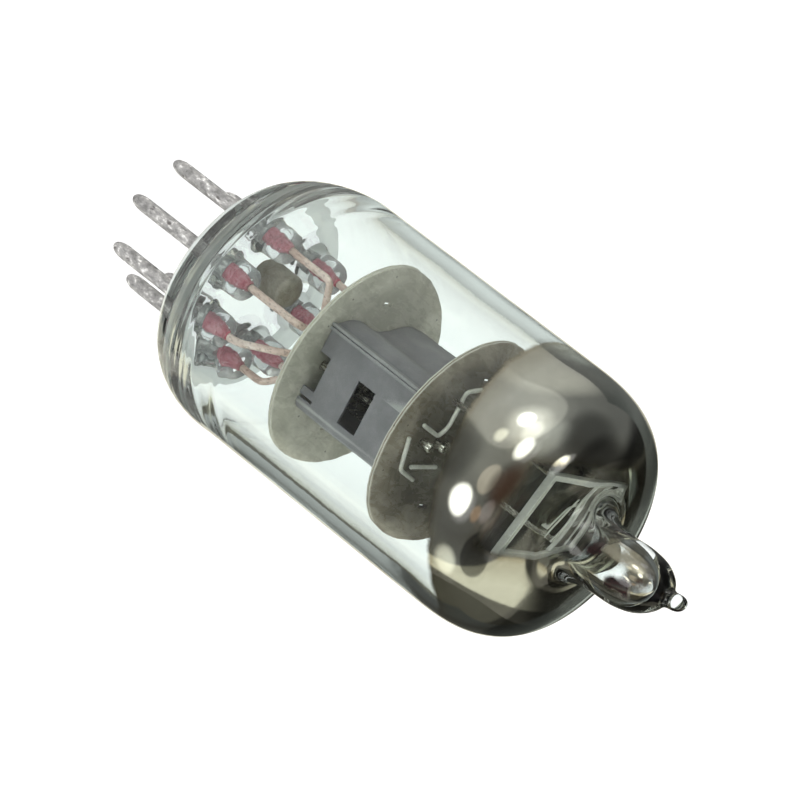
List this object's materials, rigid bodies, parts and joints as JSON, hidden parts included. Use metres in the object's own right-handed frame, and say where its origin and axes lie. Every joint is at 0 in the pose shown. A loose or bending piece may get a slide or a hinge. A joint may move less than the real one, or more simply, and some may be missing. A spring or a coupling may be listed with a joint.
{
  "type": "vacuum tube",
  "caption": "Small round glass vacuum tube with a sealed exhaust tip, a grey electrode box between two mica discs, and a ring of stiff base pins.",
  "frame": {"origin": "on the tube's axis in the plane of the pin tips, the object's lowest point", "axes": "+Z along the tube's axis from the pins to the exhaust tip; the empty place in the pin ring is towards -X"},
  "size_m": [0.0189, 0.0188, 0.0491],
  "materials": {
    "bulb_glass": "clear blown glass, faint grey-green at the edges, silvered inside the top by the getter",
    "stem_glass": "pressed clear glass, faint grey-green",
    "pin_metal": "nickel-iron, tarnished dull grey",
    "seal_copper": "crimson copper oxide",
    "lead_copper": "tarnished copper-clad wire",
    "mica": "split mica sheet, olive grey, satin",
    "anode_metal": "carbonised nickel, powdery bluish grey",
    "nickel": "bright nickel",
    "cathode_coating": "white oxide coating",
    "dark_metal": "dark oxidised metal"
  },
  "bodies": {
    "root": {"glass_bulb": "bulb_glass", "stem_button": "stem_glass", "base_pin_1": "pin_metal", "base_pin_2": "pin_metal", "base_pin_3": "pin_metal", "base_pin_4": "pin_metal", "base_pin_5": "pin_metal", "base_pin_6": "pin_metal", "base_pin_7": "pin_metal", "seal_wire_1": "seal_copper", "seal_wire_2": "seal_copper", "seal_wire_3": "seal_copper", "seal_wire_4": "seal_copper", "seal_wire_5": "seal_copper", "seal_wire_6": "seal_copper", "seal_wire_7": "seal_copper", "inner_lead_1": "lead_copper", "inner_lead_2": "lead_copper", "inner_lead_3": "lead_copper", "inner_lead_4": "lead_copper", "inner_lead_5": "lead_copper", "inner_lead_6": "lead_copper", "inner_lead_7": "lead_copper", "stem_shield": "dark_metal", "lower_mica": "mica", "upper_mica": "mica", "anode_half_1": "anode_metal", "anode_half_2": "anode_metal", "anode_strap": "nickel", "control_grid_rod_1": "nickel", "control_grid_rod_2": "nickel", "control_grid_winding": "nickel", "screen_grid_rod_1": "nickel", "screen_grid_rod_2": "nickel", "screen_grid_winding": "nickel", "suppressor_grid_rod_1": "nickel", "suppressor_grid_rod_2": "nickel", "suppressor_grid_winding": "nickel", "cathode_sleeve": "cathode_coating", "heater": "cathode_coating", "top_strap_1": "nickel", "top_strap_2": "nickel", "top_strap_3": "nickel", "getter_post_1": "nickel", "getter_post_2": "nickel", "getter_frame": "nickel", "getter_channel": "nickel", "getter_pellet": "dark_metal"}
  },
  "joints": []
}
